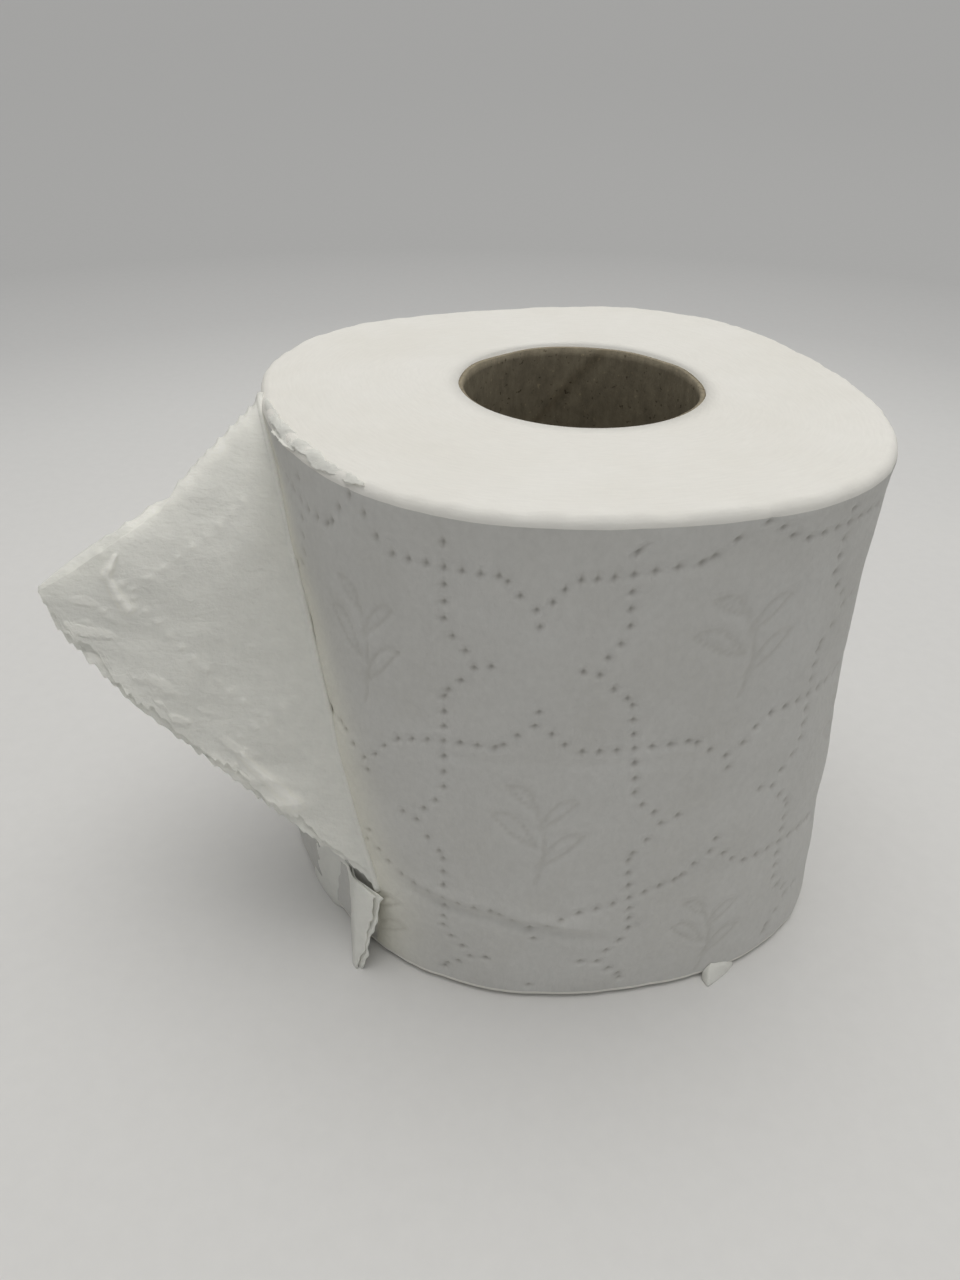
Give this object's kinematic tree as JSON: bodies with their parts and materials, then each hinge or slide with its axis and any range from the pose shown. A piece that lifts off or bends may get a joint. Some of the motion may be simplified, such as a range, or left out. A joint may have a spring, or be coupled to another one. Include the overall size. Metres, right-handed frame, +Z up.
{
  "type": "toilet paper roll",
  "caption": "Soft, slightly out-of-round toilet paper roll wound on a cardboard core tube, standing on its end with its loose tail folded back.",
  "frame": {"origin": "on the core tube's axis, at the level of the lower end that the roll stands on", "axes": "+Z up along the core tube's axis; +X and +Y across the roll, with the loose tail on the -X, -Y side"},
  "size_m": [0.1367, 0.1058, 0.098],
  "materials": {
    "tissue_paper": "soft creped and embossed tissue, matt",
    "core_board": "thin spiral-wound grey-brown board, matt"
  },
  "bodies": {
    "root": {"wound_paper": "tissue_paper", "core_tube": "core_board"}
  },
  "joints": []
}
